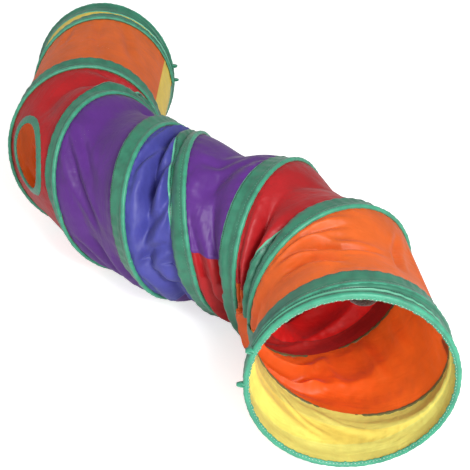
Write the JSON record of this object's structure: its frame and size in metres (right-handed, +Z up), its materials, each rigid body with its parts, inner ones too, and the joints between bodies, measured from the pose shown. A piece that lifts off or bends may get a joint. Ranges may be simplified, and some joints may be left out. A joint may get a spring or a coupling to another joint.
{
  "type": "cat tunnel",
  "caption": "Flexible play tunnel for cats: coloured nylon strips on a spiral spring wire in green tape, with a peep hole and a hanging plush ball",
  "frame": {"origin": "centre of the tunnel's box, on the floor it lies on", "axes": "front mouth towards -Y, back mouth towards +Y, +Z up"},
  "size_m": [0.642, 0.8224, 0.2541],
  "materials": {
    "green_tape": "woven nylon tape, dull sheen",
    "spring_steel": "spring temper, dull",
    "yellow_nylon": "glossy nylon taffeta",
    "orange_nylon": "glossy nylon taffeta",
    "red_nylon": "glossy nylon taffeta",
    "purple_nylon": "glossy nylon taffeta",
    "blue_nylon": "glossy nylon taffeta",
    "black_elastic": "braided elastic",
    "dark_plush": "short plush"
  },
  "bodies": {
    "front_ring": {"tape_front_ring": "green_tape", "wire_front_ring": "spring_steel", "crimp_front": "spring_steel", "tape_end_front": "green_tape"},
    "turn_1_top": {"tape_turn_1_top": "green_tape", "wire_turn_1_top": "spring_steel", "panel_1_yellow": "yellow_nylon"},
    "turn_1_bottom": {"tape_turn_1_bottom": "green_tape", "wire_turn_1_bottom": "spring_steel", "panel_2_orange": "orange_nylon"},
    "turn_2_top": {"tape_turn_2_top": "green_tape", "wire_turn_2_top": "spring_steel", "toy_loop": "green_tape"},
    "turn_2_bottom": {"tape_turn_2_bottom": "green_tape", "wire_turn_2_bottom": "spring_steel", "panel_3_red": "red_nylon"},
    "turn_3_top": {"tape_turn_3_top": "green_tape", "wire_turn_3_top": "spring_steel"},
    "turn_3_bottom": {"tape_turn_3_bottom": "green_tape", "wire_turn_3_bottom": "spring_steel", "panel_4_purple": "purple_nylon"},
    "turn_4_top": {"tape_turn_4_top": "green_tape", "wire_turn_4_top": "spring_steel"},
    "turn_4_bottom": {"tape_turn_4_bottom": "green_tape", "wire_turn_4_bottom": "spring_steel", "panel_5_blue": "blue_nylon"},
    "turn_5_top": {"tape_turn_5_top": "green_tape", "wire_turn_5_top": "spring_steel"},
    "turn_5_bottom": {"tape_turn_5_bottom": "green_tape", "wire_turn_5_bottom": "spring_steel", "panel_6_purple": "purple_nylon"},
    "turn_6_top": {"tape_turn_6_top": "green_tape", "wire_turn_6_top": "spring_steel"},
    "turn_6_bottom": {"tape_turn_6_bottom": "green_tape", "wire_turn_6_bottom": "spring_steel", "panel_7_red": "red_nylon", "peep_hole_binding": "green_tape"},
    "turn_7_top": {"tape_turn_7_top": "green_tape", "wire_turn_7_top": "spring_steel"},
    "turn_7_bottom": {"tape_turn_7_bottom": "green_tape", "wire_turn_7_bottom": "spring_steel", "panel_8_orange": "orange_nylon"},
    "turn_8_top": {"tape_turn_8_top": "green_tape", "wire_turn_8_top": "spring_steel", "panel_9_yellow": "yellow_nylon"},
    "back_ring": {"tape_back_ring": "green_tape", "wire_back_ring": "spring_steel", "crimp_back": "spring_steel", "tape_end_back": "green_tape"},
    "toy": {"toy_cord": "black_elastic", "toy_ball": "dark_plush"}
  },
  "joints": [
    {"name": "hinge_1_left", "type": "hinge", "parent": "turn_1_top", "child": "front_ring", "pos_m": [0.0664, -0.37556, 0.12707], "axis": [0, 0, 1], "range_deg": [-14, 2], "deforming": ["panel_1_yellow"]},
    {"name": "hinge_2_right", "type": "hinge", "parent": "turn_1_bottom", "child": "turn_1_top", "pos_m": [0.31453, -0.3451, 0.12707], "axis": [0, 0, -1], "range_deg": [-21, 18], "deforming": ["panel_2_orange"]},
    {"name": "hinge_3_left", "type": "hinge", "parent": "turn_2_top", "child": "turn_1_bottom", "pos_m": [0.07196, -0.28462, 0.12707], "axis": [0, 0, 1], "range_deg": [0, 39], "deforming": ["panel_2_orange"]},
    {"name": "hinge_4_right", "type": "hinge", "parent": "turn_2_bottom", "child": "turn_2_top", "pos_m": [0.2927, -0.16725, 0.12707], "axis": [0, 0, -1], "range_deg": [-31, 8], "deforming": ["panel_3_red"]},
    {"name": "hinge_5_left", "type": "hinge", "parent": "turn_3_top", "child": "turn_2_bottom", "pos_m": [0.05362, -0.24034, 0.12707], "axis": [0, 0, 1], "range_deg": [-1, 38], "deforming": ["panel_3_red"]},
    {"name": "hinge_6_right", "type": "hinge", "parent": "turn_3_bottom", "child": "turn_3_top", "pos_m": [0.1861, -0.02833, 0.12707], "axis": [0, 0, -1], "range_deg": [-25, 14], "deforming": ["panel_4_purple"]},
    {"name": "hinge_7_left", "type": "hinge", "parent": "turn_4_top", "child": "turn_3_bottom", "pos_m": [-0.00258, -0.19234, 0.12707], "axis": [0, 0, 1], "range_deg": [-1, 38], "deforming": ["panel_4_purple"]},
    {"name": "hinge_8_right", "type": "hinge", "parent": "turn_4_bottom", "child": "turn_4_top", "pos_m": [0.03222, 0.05522, 0.12707], "axis": [0, 0, -1], "range_deg": [-20, 19], "deforming": ["panel_5_blue"]},
    {"name": "hinge_9_left", "type": "hinge", "parent": "turn_4_bottom", "child": "turn_5_top", "pos_m": [-0.09278, -0.16128, 0.12707], "axis": [0, 0, -1], "range_deg": [-36, 3], "deforming": ["panel_5_blue"]},
    {"name": "hinge_10_right", "type": "hinge", "parent": "turn_5_top", "child": "turn_5_bottom", "pos_m": [0.0089, 0.0671, 0.12707], "axis": [0, 0, 1], "range_deg": [-7, 32], "deforming": ["panel_6_purple"]},
    {"name": "hinge_11_left", "type": "hinge", "parent": "turn_5_bottom", "child": "turn_6_top", "pos_m": [-0.20539, -0.06166, 0.12707], "axis": [0, 0, -1], "range_deg": [-17, 22], "deforming": ["panel_6_purple"]},
    {"name": "hinge_12_right", "type": "hinge", "parent": "turn_6_top", "child": "turn_6_bottom", "pos_m": [-0.06559, 0.1456, 0.12707], "axis": [0, 0, 1], "range_deg": [0, 39], "deforming": ["panel_7_red", "peep_hole_binding"]},
    {"name": "hinge_13_left", "type": "hinge", "parent": "turn_6_bottom", "child": "turn_7_top", "pos_m": [-0.30817, 0.08512, 0.12707], "axis": [0, 0, -1], "range_deg": [-37, 2], "deforming": ["panel_7_red"]},
    {"name": "hinge_14_right", "type": "hinge", "parent": "turn_7_top", "child": "turn_7_bottom", "pos_m": [-0.07179, 0.16651, 0.12707], "axis": [0, 0, 1], "range_deg": [0, 39], "deforming": ["panel_8_orange"]},
    {"name": "hinge_15_left", "type": "hinge", "parent": "turn_7_bottom", "child": "turn_8_top", "pos_m": [-0.30191, 0.2642, 0.12707], "axis": [0, 0, -1], "range_deg": [0, 39], "deforming": ["panel_8_orange"]},
    {"name": "hinge_16_right", "type": "hinge", "parent": "turn_8_top", "child": "back_ring", "pos_m": [-0.06553, 0.34559, 0.12707], "axis": [0, 0, 1], "range_deg": [0, 18], "deforming": ["panel_9_yellow"]},
    {"name": "toy_swing", "type": "hinge", "parent": "turn_2_top", "child": "toy", "pos_m": [0.22977, -0.18736, 0.22529], "axis": [0.8829, 0.4695, 0], "range_deg": [-45, 45]}
  ]
}
